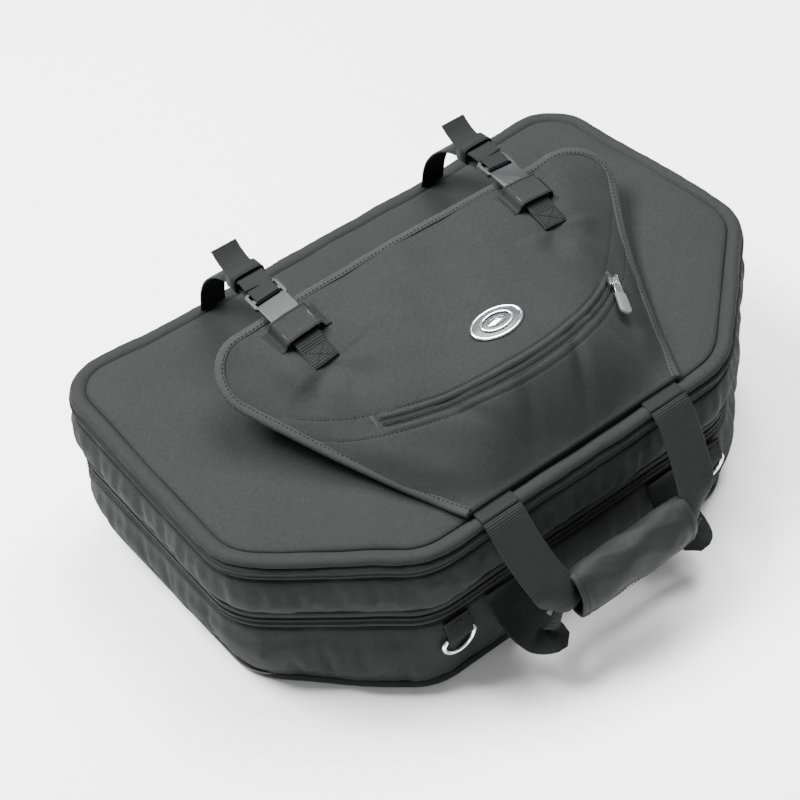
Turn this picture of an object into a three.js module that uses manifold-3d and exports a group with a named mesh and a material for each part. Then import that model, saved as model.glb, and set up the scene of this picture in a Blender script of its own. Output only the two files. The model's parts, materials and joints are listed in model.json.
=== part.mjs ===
// Touring tail bag: a two-storey soft case with a zipped lid, a cargo flap that is buckled down
// over the lid, a padded carry handle and four lashing rings.
// Millimetres, +Z up. The front, with the handle, faces -Y. The bag stands on z = 0.
import * as THREE from 'three';
import Module from 'manifold-3d';
import { mergeVertices } from 'three/addons/utils/BufferGeometryUtils.js';

const manifold = await Module();
manifold.setup();

// ---- driving dimensions ----------------------------------------------------------------
const HALF_WIDTH = 280;
const FRONT_Y = -175;
const REAR_Y = 175;
const FRONT_HALF = 160;        // half length of the straight front wall
const CHAMFER_Y = -70;         // where the front chamfers meet the side walls
const FRONT_RADIUS = 55;
const REAR_RADIUS = 45;
const GAP = 0.3;               // space left between touching pieces

const WALL = 7;                // padded wall thickness
const TAPE = 2.7;              // depth of a zip tape laid on the wall
const PIPING = 5;
const BASE_TOP = 6;
const LOWER_TOP = 84;          // top of the plain lower wall
const SPLIT_Z = 94;            // middle zip, where the case opens
const UPPER_BOTTOM = 104;
const UPPER_TOP = 146;
const LID_Z = 153;             // upper zip, where the lid opens
const LID_EDGE_Z = 157;
const LID_TOP_Z = 166;
const LID_CROWN = 6;

const FLAP_Y = -163;           // front seam of the flap
const FLAP_Z = 170;            // underside of the flap at that seam
const FLAP_LENGTH = 226;
const FLAP_FRONT_HALF = 112;
const FLAP_REAR_HALF = 218;    // before the rear corners are rounded
const FLAP_RADIUS = 34;
const FLAP_DOME = 60;
const FLAP_T = 4;
const BINDING = 5;

const WEB = 25;                // lashing and buckle webbing
const WEB_T = 2;
const BUCKLE_X = 122;
const BUCKLE_D = 202;          // buckle station, measured back from the flap's front seam
const HANDLE_WEB = 38;
const HANDLE_X = 89;
const GRIP = { y: -229, z: 94, radius: 17, half: 66 };
const RING_X = 140;

// ---- mesh helpers ----------------------------------------------------------------------
const V = (x, y, z) => new THREE.Vector3(x, y, z);

/** A closed solid from points and triangles, turned so that its faces look outwards. */
function solid(points, faces) {
  let volume = 0;
  for (const [a, b, c] of faces) {
    volume += points[a].dot(points[b].clone().cross(points[c]));
  }
  const outward = volume < 0 ? faces.map(([a, b, c]) => [a, c, b]) : faces;
  const geometry = new THREE.BufferGeometry().setFromPoints(points);
  geometry.setIndex(outward.flat());
  geometry.computeVertexNormals();
  return geometry;
}

/** Skins a row of rings with equal point counts. A joined loft closes on its first ring. */
function loft(rings, joined = false) {
  const n = rings[0].length;
  const faces = [];
  const spans = joined ? rings.length : rings.length - 1;
  for (let i = 0; i < spans; i++) {
    const a = i * n;
    const b = ((i + 1) % rings.length) * n;
    for (let j = 0; j < n; j++) {
      const k = (j + 1) % n;
      faces.push([a + j, a + k, b + k], [a + j, b + k, b + j]);
    }
  }
  if (!joined) {
    const end = (rings.length - 1) * n;
    for (let j = 0; j < n / 2 - 1; j++) {
      const m = n - 1 - j;
      faces.push([j, m, m - 1], [j, m - 1, j + 1]);
      faces.push([end + j, end + m - 1, end + m], [end + j, end + j + 1, end + m - 1]);
    }
  }
  return solid(rings.flat(), faces);
}

/** The unit directions of a row of points. */
function directions(path, closed = false) {
  return path.map((_, i) => {
    const before = path[closed ? (i + path.length - 1) % path.length : Math.max(i - 1, 0)];
    const after = path[closed ? (i + 1) % path.length : Math.min(i + 1, path.length - 1)];
    return after.clone().sub(before).normalize();
  });
}

/** A flat strip along a path. sides holds the width direction at each point, or one for all. */
function strip(path, sides, width, thickness) {
  const along = directions(path);
  return loft(path.map((p, i) => {
    const side = (Array.isArray(sides) ? sides[i] : sides).clone().normalize();
    const up = side.clone().cross(along[i]).normalize();
    return [[-1, -1], [1, -1], [1, 1], [-1, 1]].map(([s, u]) =>
      p.clone().addScaledVector(side, s * width / 2).addScaledVector(up, u * thickness / 2));
  }));
}

/** A round rod along a closed flat loop; across is the loop's plane normal. */
function rodLoop(path, across, radius, sides = 8) {
  const along = directions(path, true);
  return loft(path.map((p, i) => {
    const out = along[i].clone().cross(across).normalize();
    return Array.from({ length: sides }, (_, k) => {
      const angle = 2 * Math.PI * k / sides;
      return p.clone().addScaledVector(out, radius * Math.cos(angle))
        .addScaledVector(across, radius * Math.sin(angle));
    });
  }), true);
}

/** Extrudes a shape drawn on the axes x and y, centred on its origin plane. */
function plate(shape, depth, origin, x, y, curveSegments = 8) {
  const z = x.clone().cross(y);
  const geometry = new THREE.ExtrudeGeometry(shape, { depth, bevelEnabled: false, curveSegments });
  geometry.translate(0, 0, -depth / 2);
  geometry.applyMatrix4(new THREE.Matrix4().makeBasis(x, y, z));
  return geometry.translate(origin.x, origin.y, origin.z);
}

/** Joins overlapping closed solids into one. */
function join(...geometries) {
  const parts = geometries.map((geometry) => {
    const bare = new THREE.BufferGeometry();
    bare.setAttribute('position', geometry.getAttribute('position'));
    bare.setIndex(geometry.getIndex());
    const merged = mergeVertices(bare, 1e-4);
    return new manifold.Manifold(new manifold.Mesh({
      numProp: 3,
      vertProperties: merged.getAttribute('position').array,
      triVerts: new Uint32Array(merged.getIndex().array),
    }));
  });
  const { vertProperties, triVerts } = parts.reduce((a, b) => a.add(b)).getMesh();
  const geometry = new THREE.BufferGeometry();
  geometry.setAttribute('position', new THREE.BufferAttribute(vertProperties, 3));
  geometry.setIndex(new THREE.BufferAttribute(triVerts, 1));
  geometry.computeVertexNormals();
  return geometry;
}

function rectangle(x0, y0, x1, y1) {
  return new THREE.Shape([[x0, y0], [x1, y0], [x1, y1], [x0, y1]].map(([x, y]) => new THREE.Vector2(x, y)));
}

function hole(shape) {
  return new THREE.Path(shape.getPoints());
}

const FINISH = {
  fabric: { color: 0x2b2d2d, roughness: 0.85, metalness: 0 },
  trim: { color: 0x343636, roughness: 0.8, metalness: 0 },
  webbing: { color: 0x262828, roughness: 0.75, metalness: 0 },
  zip: { color: 0x141515, roughness: 0.6, metalness: 0 },
  board: { color: 0x1c1c1c, roughness: 0.6, metalness: 0 },
  plastic: { color: 0x3a3c3d, roughness: 0.45, metalness: 0 },
  chrome: { color: 0xd8dadc, roughness: 0.15, metalness: 1 },
  enamel: { color: 0x303234, roughness: 0.3, metalness: 0 },
  rubber: { color: 0x55585a, roughness: 0.6, metalness: 0 },
};

const bag = new THREE.Group();

function add(name, geometry, finish, group = bag) {
  const mesh = new THREE.Mesh(geometry, new THREE.MeshStandardMaterial(FINISH[finish]));
  mesh.name = name;
  group.add(mesh);
  return mesh;
}

// ---- case outline ----------------------------------------------------------------------
const CORNERS = [
  [-FRONT_HALF, FRONT_Y, FRONT_RADIUS], [FRONT_HALF, FRONT_Y, FRONT_RADIUS],
  [HALF_WIDTH, CHAMFER_Y, FRONT_RADIUS], [HALF_WIDTH, REAR_Y, REAR_RADIUS],
  [-HALF_WIDTH, REAR_Y, REAR_RADIUS], [-HALF_WIDTH, CHAMFER_Y, FRONT_RADIUS],
].map(([x, y, radius]) => ({ at: new THREE.Vector2(x, y), radius }));

/** The rounded six-sided plan of the case, moved out by offset, at height z. */
function outline(offset, z) {
  return CORNERS.flatMap(({ at, radius }, i) => {
    const back = CORNERS.at(i - 1).at.clone().sub(at).normalize();
    const ahead = CORNERS[(i + 1) % CORNERS.length].at.clone().sub(at).normalize();
    const half = Math.acos(back.dot(ahead)) / 2;
    const centre = at.clone().addScaledVector(back.clone().add(ahead).normalize(), radius / Math.sin(half));
    const start = Math.atan2(-back.x, back.y) + Math.PI;
    const turn = Math.PI - 2 * half;
    const steps = Math.ceil(turn / 0.16);
    return Array.from({ length: steps + 1 }, (_, k) => {
      const angle = start + turn * k / steps;
      return V(centre.x + (radius + offset) * Math.cos(angle), centre.y + (radius + offset) * Math.sin(angle), z);
    });
  });
}

/** A band round the case: its section is a list of [offset, z] corners. */
function band(section) {
  return loft(section.map(([offset, z]) => outline(offset, z)), true);
}

function slab(offset, z0, z1) {
  return loft([outline(offset, z0), outline(offset, z1)]);
}

// ---- lower case ------------------------------------------------------------------------
function lowerCase() {
  add('bottom_panel', slab(-PIPING - GAP, 0, BASE_TOP), 'fabric');
  add('bottom_piping', band([[-PIPING, 1], [0, 1], [2, 3.5], [0, BASE_TOP], [-PIPING, BASE_TOP]]), 'trim');
  add('base_board', slab(-WALL - 2, BASE_TOP + GAP, BASE_TOP + 3), 'board');
  add('lower_wall', band([
    [-WALL, BASE_TOP + GAP], [0, BASE_TOP + GAP], [0, LOWER_TOP],
    [-TAPE - GAP, LOWER_TOP], [-TAPE - GAP, SPLIT_Z - GAP], [-WALL, SPLIT_Z - GAP],
  ]), 'fabric');
  add('middle_zip_lower_tape', band([
    [-TAPE, LOWER_TOP + GAP], [0, LOWER_TOP + GAP], [0, SPLIT_Z - GAP], [-TAPE, SPLIT_Z - GAP],
  ]), 'zip');
}

// ---- upper case and lid ----------------------------------------------------------------
function upperCase() {
  add('middle_zip_upper_tape', band([
    [-TAPE, SPLIT_Z + GAP], [0, SPLIT_Z + GAP], [0, UPPER_BOTTOM - GAP], [-TAPE, UPPER_BOTTOM - GAP],
  ]), 'zip');
  add('upper_wall', band([
    [-WALL, SPLIT_Z + GAP], [-TAPE - GAP, SPLIT_Z + GAP], [-TAPE - GAP, UPPER_BOTTOM], [0, UPPER_BOTTOM],
    [0, UPPER_TOP], [-TAPE - GAP, UPPER_TOP], [-TAPE - GAP, LID_Z - GAP], [-WALL, LID_Z - GAP],
  ]), 'fabric');
  add('upper_zip_lower_tape', band([
    [-TAPE, UPPER_TOP + GAP], [0, UPPER_TOP + GAP], [0, LID_Z - GAP], [-TAPE, LID_Z - GAP],
  ]), 'zip');
}

const LID_PIPING = 12;

function lid() {
  add('upper_zip_upper_tape', band([
    [-TAPE, LID_Z + GAP], [0, LID_Z + GAP], [0, LID_EDGE_Z - GAP], [-TAPE, LID_EDGE_Z - GAP],
  ]), 'zip');
  add('lid_piping', band([
    [-LID_PIPING, LID_EDGE_Z], [0, LID_EDGE_Z], [2, LID_EDGE_Z + 3], [1, LID_TOP_Z - 2],
    [-3, LID_TOP_Z], [-LID_PIPING, LID_TOP_Z],
  ]), 'trim');
  add('lid_board', slab(-LID_PIPING - 4, LID_Z + 2, LID_EDGE_Z + 1), 'board');
  const crown = [[1, 0], [0.97, 0.45], [0.9, 0.75], [0.75, 0.93], [0.45, 1]];
  const inset = -LID_PIPING - GAP;
  add('lid_panel', loft([
    outline(inset, LID_EDGE_Z + 2),
    ...crown.map(([scale, rise]) => outline(inset, LID_TOP_Z - 1 + LID_CROWN * rise)
      .map((p) => p.multiply(V(scale, scale, 1)))),
  ]), 'fabric');
}

// ---- cargo flap ------------------------------------------------------------------------
// A stiffened panel that stands arched over the load. Stations run back from its front seam.
const SIDE_SLOPE = (FLAP_REAR_HALF - FLAP_FRONT_HALF) / FLAP_LENGTH;
const SIDE_ANGLE = Math.atan(SIDE_SLOPE);
const CORNER_D = FLAP_LENGTH - FLAP_RADIUS;
const CORNER_X = FLAP_FRONT_HALF + SIDE_SLOPE * CORNER_D - FLAP_RADIUS / Math.cos(SIDE_ANGLE);

function flapHalfWidth(d) {
  const tangent = CORNER_D - FLAP_RADIUS * Math.sin(SIDE_ANGLE);
  if (d < tangent) return FLAP_FRONT_HALF + SIDE_SLOPE * d;
  return CORNER_X + Math.sqrt(Math.max(0, FLAP_RADIUS ** 2 - (d - CORNER_D) ** 2));
}

/** Height of the flap's underside over its seam, at x and at station d. */
function flapHeight(x, d) {
  const v = Math.max(d, 0) / FLAP_LENGTH;
  const u = Math.min(Math.abs(x) / (FLAP_FRONT_HALF + SIDE_SLOPE * d), 1);
  const middle = FLAP_DOME * (1 - Math.exp(-((v / 0.125) ** 1.5))) + 5 * v;
  const edge = 52 * v ** 1.5;
  return edge + (middle - edge) * (1 - u ** 2.4);
}

function flapPoint(x, d, lift = 0) {
  return V(x, FLAP_Y + d, FLAP_Z + flapHeight(x, d) + lift);
}

/** Right-handed axes on top of the flap at x, d: across, back along the bag, and outwards. */
function flapFrame(x, d) {
  const step = 1;
  const across = flapPoint(x + step, d).sub(flapPoint(x - step, d)).normalize();
  const back = flapPoint(x, d + step).sub(flapPoint(x, d - step)).normalize();
  const out = across.cross(back).normalize();
  return { at: flapPoint(x, d, FLAP_T), side: back.clone().cross(out), back, out };
}

const FLAP_STATIONS = [0, 10, 20, 32, 45, 60, 80, 105, 130, 152];
for (let k = 0; k <= 6; k++) {
  const angle = THREE.MathUtils.lerp(-SIDE_ANGLE, Math.PI / 2, k / 6);
  FLAP_STATIONS.push(CORNER_D + FLAP_RADIUS * Math.sin(angle));
}

function flapPanel() {
  const columns = 16;
  return loft(FLAP_STATIONS.map((d) => {
    const xs = Array.from({ length: columns + 1 }, (_, k) => flapHalfWidth(d) * (2 * k / columns - 1));
    return [...xs.map((x) => flapPoint(x, d)), ...xs.toReversed().map((x) => flapPoint(x, d, FLAP_T))];
  }));
}

/** Points on the flap's free edge, from the left end of the seam round the rear to the right. */
function flapEdge() {
  const left = FLAP_STATIONS.map((d) => [-flapHalfWidth(d), d]);
  const right = FLAP_STATIONS.map((d) => [flapHalfWidth(d), d]).toReversed();
  const rear = Array.from({ length: 11 }, (_, k) => [CORNER_X * ((k + 1) / 6 - 1), FLAP_LENGTH]);
  return [...left, ...rear, ...right];
}

function flapBinding() {
  const edge = flapEdge().map(([x, d]) => flapPoint(x, d, FLAP_T / 2));
  const along = directions(edge);
  const out = along.map((t) => V(-t.y, t.x, 0).normalize());
  const path = edge.map((p, i) => p.clone().addScaledVector(out[i], BINDING / 2 + 2 * GAP));
  return strip(path, out, BINDING, BINDING);
}

const POCKET_HALF = 126;

function pocketStation(x) {
  return 50 + 44 * Math.abs(x / POCKET_HALF) ** 2.2;
}

function pocketTape() {
  const frames = Array.from({ length: 19 }, (_, k) => {
    const x = POCKET_HALF * (k / 9 - 1);
    return flapFrame(x, pocketStation(x));
  });
  const path = frames.map(({ at, out }) => at.clone().addScaledVector(out, 1.2));
  const along = directions(path);
  return strip(path, frames.map(({ out }, i) => out.clone().cross(along[i])), 13, 1);
}

function flap() {
  add('flap_panel', flapPanel(), 'fabric');
  add('flap_binding', flapBinding(), 'trim');
  add('pocket_zip_tape', pocketTape(), 'zip');
}

function badge() {
  const { at, side, back, out } = flapFrame(0, 96);
  const oval = (a, b) => new THREE.Shape().absellipse(0, 0, a, b, 0, 2 * Math.PI);
  const rim = oval(25, 15.5);
  rim.holes.push(hole(oval(22, 12.5)));
  const centre = at.clone().addScaledVector(out, 1.6);
  add('badge_rim', plate(rim, 2, centre, side, back, 20), 'chrome');
  add('badge_plate', plate(oval(21.7, 12.2), 1.4, centre, side, back, 20), 'enamel');
}

// ---- zip sliders and pulls -------------------------------------------------------------
/**
 * A slider with an arched bail and a pull hung in it. frame.down is the way the pull lies,
 * frame.axle the line it swings about, frame.out the way away from the tape.
 */
function zipSlider(prefix, frame) {
  const { at, down, axle, out } = frame;
  const place = (rise) => at.clone().addScaledVector(out, rise);
  const body = plate(rectangle(-4.5, -5, 4.5, 5), 2.4, place(1.3), down, axle);
  const arch = rectangle(-4, 2.2, 4, 7.2);
  arch.holes.push(hole(rectangle(-2.7, 2.6, 2.7, 5.8)));
  const bail = plate(arch, 2.2, at, down, out);
  add(`${prefix}_slider`, join(body, bail), 'chrome');

  const eye = new THREE.Shape();
  eye.moveTo(-1, -4).lineTo(-1, 4).lineTo(15, 4.6).lineTo(15, -4.6);
  eye.holes.push(hole(rectangle(1, -2.2, 6.2, 2.2)));
  add(`${prefix}_pull`, plate(eye, 1.3, place(4.2), down, axle), 'chrome');
  const grip = new THREE.Shape();
  grip.moveTo(15.3, -5).lineTo(15.3, 5).lineTo(33, 5.6);
  grip.absarc(33, 0, 5.6, Math.PI / 2, -Math.PI / 2, true);
  add(`${prefix}_pull_grip`, plate(grip, 3.2, place(4.2), down, axle, 6), 'rubber');
}

const PULL_SWING = 0.54;       // how far the pocket's pull has swung off its zip, in radians

function sliders() {
  const x = POCKET_HALF - 8;
  const surface = flapFrame(x, pocketStation(x));
  const next = flapFrame(x - 2, pocketStation(x - 2));
  const along = surface.at.clone().sub(next.at).normalize();
  const across = along.clone().cross(surface.out).normalize();
  const out = across.clone().cross(along);
  const down = along.clone().multiplyScalar(-Math.cos(PULL_SWING)).addScaledVector(across, Math.sin(PULL_SWING));
  zipSlider('pocket_zip', {
    at: surface.at.clone().addScaledVector(surface.out, 2.2), down, axle: out.clone().cross(down), out,
  });
  const wall = { down: V(0, 0, -1), axle: V(0, 1, 0), out: V(1, 0, 0) };
  zipSlider('middle_zip', { ...wall, at: V(HALF_WIDTH + GAP, 96, SPLIT_Z) });
  zipSlider('upper_zip', { ...wall, at: V(HALF_WIDTH + GAP + 1.8, 96, LID_Z - 1.8) });
}

// ---- flap buckles and rear straps ------------------------------------------------------
function buckle(name, x) {
  const { at, side, back, out } = flapFrame(x, BUCKLE_D);
  const place = (along, rise) => at.clone().addScaledVector(back, along).addScaledVector(out, rise);

  const sleeve = rectangle(-15.5, 1.4, 15.5, 9.6);
  sleeve.holes.push(hole(rectangle(-13, 3, 13, 8)));
  add(`buckle_socket_${name}`, plate(sleeve, 23, place(-2.5, 0), out.clone().cross(back), out), 'plastic');

  const cover = new THREE.Shape();
  cover.moveTo(-23, 0.8).lineTo(-17.5, 11.6).lineTo(17.5, 11.6).lineTo(23, 0.8);
  cover.lineTo(21, 0.8).lineTo(16.6, 10.2).lineTo(-16.6, 10.2).lineTo(-21, 0.8);
  add(`buckle_keeper_${name}`, plate(cover, 24, place(-2.5, 0), out.clone().cross(back), out), 'fabric');

  const plug = new THREE.Shape();
  const half = [[1.5, -6], [3, -4], [3, 9.5], [6.5, 9.5], [6.5, -4], [9, -7], [12, -4], [12, 9.5],
    [14, 12], [14, 29], [16, 31], [16, 45], [13.5, 47.5]];
  const points = [...half, ...half.toReversed().map(([px, py]) => [-px, py])];
  plug.setFromPoints(points.map(([px, py]) => new THREE.Vector2(px, py)));
  plug.holes.push(hole(rectangle(-13, 31.5, 13, 35)), hole(rectangle(-13, 39, 13, 44.5)));
  const plugUp = 5.5;
  add(`buckle_plug_${name}`, plate(plug, 4, place(0, plugUp), side, back), 'plastic');

  const tab = [160, 168, 176].map((d) => flapPoint(x, d, FLAP_T + 2.8));
  tab.push(place(-18.5, 3.4), place(-14.6, 4.2));
  add(`flap_tab_${name}`, strip(tab, side, WEB, WEB_T), 'webbing');

  const bar = place(37, plugUp);
  const anchor = V(x, REAR_Y - 8, LID_TOP_Z + 3.5);
  const run = [
    bar.clone().addScaledVector(out, -4.6), V(x, 96, bar.z - 4.2), V(x, 116, bar.z - 6), V(x, 136, bar.z - 15),
    V(x, 152, bar.z - 31), V(x, 162, bar.z - 50), anchor,
  ];
  add(`rear_strap_${name}`, strip(run, V(1, 0, 0), WEB, WEB_T), 'webbing');
  const tail = [
    bar.clone().addScaledVector(out, 4.6), V(x, 92, bar.z + 7.4), V(x, 106, bar.z + 4), V(x, 117, bar.z + 5),
    V(x, 126, bar.z + 9), V(x, 134, bar.z + 15),
  ];
  add(`strap_tail_${name}`, strip(tail, V(1, 0, 0), WEB, WEB_T), 'webbing');
}

/** A ring of elastic that holds the free strap tail down on the strap. */
function tailLoop(name, x) {
  const bar = flapFrame(x, BUCKLE_D).at;
  const ring = rectangle(-WEB / 2 - 2.6, -8.4, WEB / 2 + 2.6, 9.8);
  ring.holes.push(hole(rectangle(-WEB / 2 - 1, -6.8, WEB / 2 + 1, 8.2)));
  const back = V(0, 1, -0.06).normalize();
  const out = V(1, 0, 0).cross(back);
  const centre = V(x, 105, bar.z + 10.5);
  add(`tail_loop_${name}`, plate(ring, 12, centre, out.clone().cross(back).negate(), out), 'webbing');
}

// ---- carry handle ----------------------------------------------------------------------
function handle() {
  const legs = [-HANDLE_X, HANDLE_X];
  const upperLeg = (x) => strip([
    V(x, -176.2, 167.4), V(x, -180.5, 164.5), V(x, -186, 156), V(x, -200, 142),
    V(x, -217, 124), V(x, -227, 109), V(x, GRIP.y, GRIP.z),
  ], V(1, 0, 0), HANDLE_WEB, WEB_T);
  for (const [name, x] of [['left', -HANDLE_X], ['right', HANDLE_X]]) {
    const sewn = strip([V(x, -167, 167.4), V(x, -174.6, 167.4)], V(1, 0, 0), HANDLE_WEB, WEB_T);
    add(`handle_anchor_${name}`, sewn, 'webbing');
  }
  const bar = (y, z) => strip([V(-HANDLE_X, y, z), V(HANDLE_X, y, z)], V(0, 0, 1), 22, 2.6);
  add('handle_upper_strap', join(...legs.map(upperLeg), bar(GRIP.y, GRIP.z)), 'webbing');

  const lowerLeg = (x) => strip([
    V(x, FRONT_Y - 1.6, 81), V(x, FRONT_Y - 1.8, 74), V(x, -183, 62), V(x, -194, 52), V(x, -204, 52),
    V(x, -207.5, 60), V(x, -207.5, 76),
  ], V(1, 0, 0), HANDLE_WEB, WEB_T);
  const bight = strip([V(-HANDLE_X, -207.5, 70), V(HANDLE_X, -207.5, 70)], V(0, 0, 1), 20, 2.6);
  add('handle_lower_strap', join(...legs.map(lowerLeg), bight), 'webbing');

  const wrap = new THREE.Shape().absarc(0, 0, GRIP.radius, 0, 2 * Math.PI);
  wrap.holes.push(hole(rectangle(-2, -12, 2, 12)));
  add('handle_grip', plate(wrap, 2 * GRIP.half, V(0, GRIP.y, GRIP.z), V(0, 1, 0), V(0, 0, 1), 12), 'fabric');
}

// ---- lashing rings ---------------------------------------------------------------------
const RING_Z = 63;
const RING_R = 2;

function lashingRing(name, x, wallY) {
  const out = V(0, Math.sign(wallY), 0);
  const centre = V(x, wallY + out.y * 5.4, RING_Z);
  const tab = new THREE.Shape();
  tab.moveTo(-5, 19).lineTo(-5, 0);
  tab.absarc(0, 0, 4.6, Math.PI, Math.PI * 2.25, false);
  tab.lineTo(-2, 7).lineTo(-2, 19);
  tab.holes.push(new THREE.Path().absarc(0, 0, RING_R + 0.6, 0, 2 * Math.PI));
  add(`ring_tab_${name}`, plate(tab, WEB, centre, out, V(0, 0, 1), 10), 'webbing');

  const loop = [[13, 0], [-13, 0]];
  for (let k = 0; k <= 12; k++) {
    const angle = Math.PI * (1 + k / 12);
    loop.push([15.8 * Math.cos(angle), -4.5 + 15.2 * Math.sin(angle)]);
  }
  const path = loop.map(([px, pz]) => centre.clone().add(V(px, 0, pz)));
  add(`lashing_ring_${name}`, rodLoop(path, V(0, 1, 0), RING_R), 'chrome');
}

// ---- assembly --------------------------------------------------------------------------
lowerCase();
upperCase();
lid();
flap();
badge();
sliders();
for (const [name, sign] of [['left', -1], ['right', 1]]) {
  buckle(name, sign * BUCKLE_X);
  tailLoop(name, sign * BUCKLE_X);
  lashingRing(`front_${name}`, sign * RING_X, FRONT_Y);
  lashingRing(`rear_${name}`, sign * RING_X, REAR_Y);
}
handle();

export default bag;
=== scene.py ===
"""The looks of the touring tail bag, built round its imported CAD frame."""
import json
import math

import bmesh
import bpy
import numpy as np
from mathutils import Matrix, Vector

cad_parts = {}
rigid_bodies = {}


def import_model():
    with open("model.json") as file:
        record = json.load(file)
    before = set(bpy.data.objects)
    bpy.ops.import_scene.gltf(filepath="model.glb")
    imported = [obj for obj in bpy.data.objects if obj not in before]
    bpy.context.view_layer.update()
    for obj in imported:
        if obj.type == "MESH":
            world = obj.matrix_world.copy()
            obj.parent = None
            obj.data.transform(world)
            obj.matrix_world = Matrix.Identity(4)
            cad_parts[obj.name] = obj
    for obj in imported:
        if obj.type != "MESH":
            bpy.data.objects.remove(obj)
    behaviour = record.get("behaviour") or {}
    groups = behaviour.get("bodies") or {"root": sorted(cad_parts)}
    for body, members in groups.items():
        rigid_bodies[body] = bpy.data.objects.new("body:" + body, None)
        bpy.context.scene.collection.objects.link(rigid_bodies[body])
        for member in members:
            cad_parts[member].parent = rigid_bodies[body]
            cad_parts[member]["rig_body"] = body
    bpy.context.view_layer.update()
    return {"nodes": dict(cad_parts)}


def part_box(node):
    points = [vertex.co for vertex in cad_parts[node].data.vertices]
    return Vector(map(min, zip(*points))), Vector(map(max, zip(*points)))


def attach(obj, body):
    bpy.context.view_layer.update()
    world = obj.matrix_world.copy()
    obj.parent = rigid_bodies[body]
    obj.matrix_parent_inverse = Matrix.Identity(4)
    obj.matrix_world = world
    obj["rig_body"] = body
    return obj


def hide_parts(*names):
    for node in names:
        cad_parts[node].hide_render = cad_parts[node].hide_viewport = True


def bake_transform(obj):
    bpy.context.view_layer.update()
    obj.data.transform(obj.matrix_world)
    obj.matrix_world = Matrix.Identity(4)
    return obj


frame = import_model()

MM = 0.001
SWELL_FRAMES = 20


def box(node):
    """A CAD node's lowest and highest corners, in millimetres."""
    return tuple(np.array(corner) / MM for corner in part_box(node))


# ---- the frame's dimensions, in millimetres ---------------------------------------------
WALL_LOW, WALL_HIGH = box("lower_wall")
HALF_WIDTH, FRONT_Y, REAR_Y = WALL_HIGH[0], WALL_LOW[1], WALL_HIGH[1]
FRONT_HALF, CHAMFER_Y = 160.0, -70.0
FRONT_RADIUS, REAR_RADIUS = 55.0, 45.0
SPLIT_Z = WALL_HIGH[2] + 0.3
LOWER_TOP = box("middle_zip_lower_tape")[0][2] - 0.3
UPPER_BOTTOM = box("middle_zip_upper_tape")[1][2] + 0.3
UPPER_TOP = box("upper_zip_lower_tape")[0][2] - 0.3
LID_Z = box("upper_wall")[1][2] + 0.3
LID_EDGE_Z, LID_TOP_Z = box("lid_piping")[0][2], box("lid_piping")[1][2]
FLAP_Y, FLAP_Z = box("flap_panel")[0][1], box("flap_panel")[0][2]
FLAP_LENGTH = box("flap_panel")[1][1] - FLAP_Y
FLAP_FRONT_HALF, FLAP_REAR_HALF, FLAP_RADIUS, FLAP_DOME, FLAP_T = 112.0, 218.0, 34.0, 60.0, 4.0
POCKET_HALF = 126.0
BUCKLE_X, BUCKLE_D = 122.0, 202.0
HANDLE_X, HANDLE_WEB, WEB = 89.0, 38.0, 25.0


# ---- materials ---------------------------------------------------------------------------
class Graph:
    """A small helper for building one node material."""

    def __init__(self, name, color, roughness, metallic=0.0, **sockets):
        self.material = bpy.data.materials.new(name)
        self.material.use_nodes = True
        self.tree = self.material.node_tree
        self.shader = self.tree.nodes["Principled BSDF"]
        self.color = color
        self.set(Roughness=roughness, Metallic=metallic)
        self.shader.inputs["Base Color"].default_value = (*color, 1)
        for name, value in sockets.items():
            self.shader.inputs[name.replace("_", " ")].default_value = value

    def set(self, **values):
        for name, value in values.items():
            self.shader.inputs[name].default_value = value

    def node(self, kind, inputs=(), **settings):
        made = self.tree.nodes.new(kind)
        for name, value in settings.items():
            setattr(made, name, value)
        for name, value in dict(inputs).items():
            if isinstance(value, bpy.types.NodeSocket):
                self.tree.links.new(value, made.inputs[name])
            else:
                made.inputs[name].default_value = value
        return made

    def math(self, operation, a, b=0.0):
        made = self.tree.nodes.new("ShaderNodeMath")
        made.operation = operation
        for i, value in enumerate((a, b)):
            if isinstance(value, bpy.types.NodeSocket):
                self.tree.links.new(value, made.inputs[i])
            else:
                made.inputs[i].default_value = value
        return made.outputs[0]

    def coordinates(self, kind="UV", scale=(1, 1, 1)):
        source = self.node("ShaderNodeTexCoord").outputs[kind]
        return self.node("ShaderNodeMapping", {"Vector": source, "Scale": scale}).outputs[0]

    def noise(self, scale, detail=2.0, kind="Object"):
        return self.node("ShaderNodeTexNoise", {
            "Vector": self.coordinates(kind), "Scale": scale, "Detail": detail}).outputs[0]

    def bands(self, pitch, direction):
        """A smooth ridge pattern across a uv direction. UVs are in metres."""
        wave = self.node("ShaderNodeTexWave", {
            "Vector": self.coordinates("UV"), "Scale": 2 * math.pi / (20 * pitch)}, bands_direction=direction)
        return wave.outputs["Fac"]

    def vary_color(self, factor, dark, light):
        """Mixes the base colour from dark times it to light times it by factor."""
        mix = self.node("ShaderNodeMix", {"Factor": factor}, data_type="RGBA")
        mix.inputs[6].default_value = (*[c * dark for c in self.color], 1)
        mix.inputs[7].default_value = (*[c * light for c in self.color], 1)
        self.tree.links.new(mix.outputs[2], self.shader.inputs["Base Color"])

    def vary_roughness(self, factor, low, high):
        made = self.node("ShaderNodeMapRange", {"Value": factor, "To Min": low, "To Max": high})
        self.tree.links.new(made.outputs[0], self.shader.inputs["Roughness"])

    def bump(self, height, strength, distance):
        made = self.node("ShaderNodeBump", {"Height": height, "Strength": strength, "Distance": distance})
        self.tree.links.new(made.outputs[0], self.shader.inputs["Normal"])


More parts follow.
